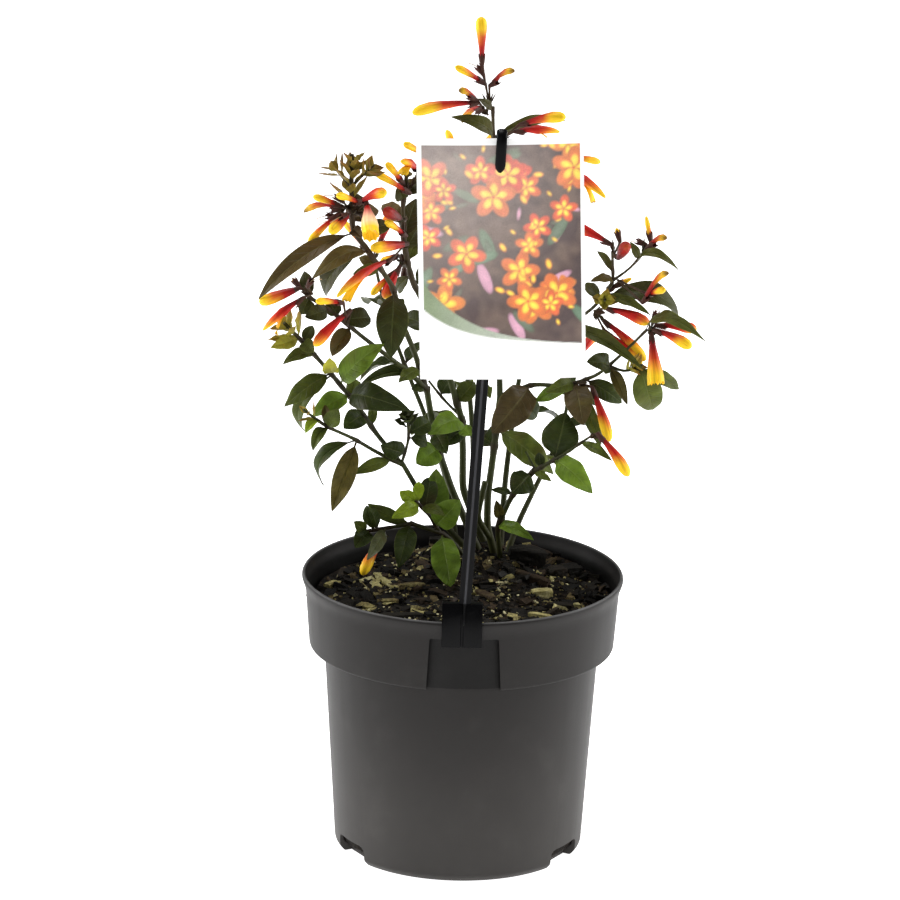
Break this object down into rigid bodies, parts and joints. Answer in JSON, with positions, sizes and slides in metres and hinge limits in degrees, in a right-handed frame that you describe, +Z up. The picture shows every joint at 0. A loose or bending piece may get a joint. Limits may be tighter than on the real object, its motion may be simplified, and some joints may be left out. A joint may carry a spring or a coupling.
{
  "type": "shrimp plant",
  "caption": "Potted shrimp plant with leafy canes and tubular flower sprays, standing in potting mix in a round plastic pot, with a picture card on a clip-on stake.",
  "frame": {"origin": "centre of the pot's base, on the surface that it stands on", "axes": "+Z up, -Y towards the label card, which is the front"},
  "size_m": [0.2354, 0.2192, 0.4451],
  "materials": {
    "pot": "satin moulded grey-brown plastic",
    "soil": "dark peat with bark chips",
    "stake": "black moulded plastic",
    "card": "coated white card with a printed picture",
    "foliage": "soft green leaf with paler veins",
    "flower": "downy tube, red at the foot to yellow at the tip, in a dark calyx"
  },
  "bodies": {
    "root": {"pot": "pot", "potting_mix": "soil", "label_stake": "stake", "label_card": "card", "leafy_stem_1": "foliage", "leafy_stem_2": "foliage", "leafy_stem_3": "foliage", "leafy_stem_4": "foliage", "leafy_stem_5": "foliage", "leafy_stem_6": "foliage", "leafy_stem_7": "foliage", "leafy_stem_8": "foliage", "leafy_stem_9": "foliage", "leafy_stem_10": "foliage", "flower_spray_01": "flower", "flower_spray_02": "flower", "flower_spray_03": "flower", "flower_spray_04": "flower", "flower_spray_05": "flower", "flower_spray_06": "flower", "flower_spray_07": "flower", "flower_spray_08": "flower", "flower_spray_09": "flower", "flower_spray_10": "flower", "flower_spray_11": "flower", "flower_spray_12": "flower", "flower_spray_13": "flower", "flower_spray_14": "flower", "flower_spray_15": "flower", "flower_spray_16": "flower", "flower_spray_17": "flower", "flower_spray_18": "flower", "flower_spray_19": "flower", "flower_spray_20": "flower", "flower_spray_21": "flower", "flower_spray_22": "flower", "flower_spray_23": "flower", "flower_spray_24": "flower", "flower_spray_25": "flower", "flower_spray_26": "flower"}
  },
  "joints": []
}
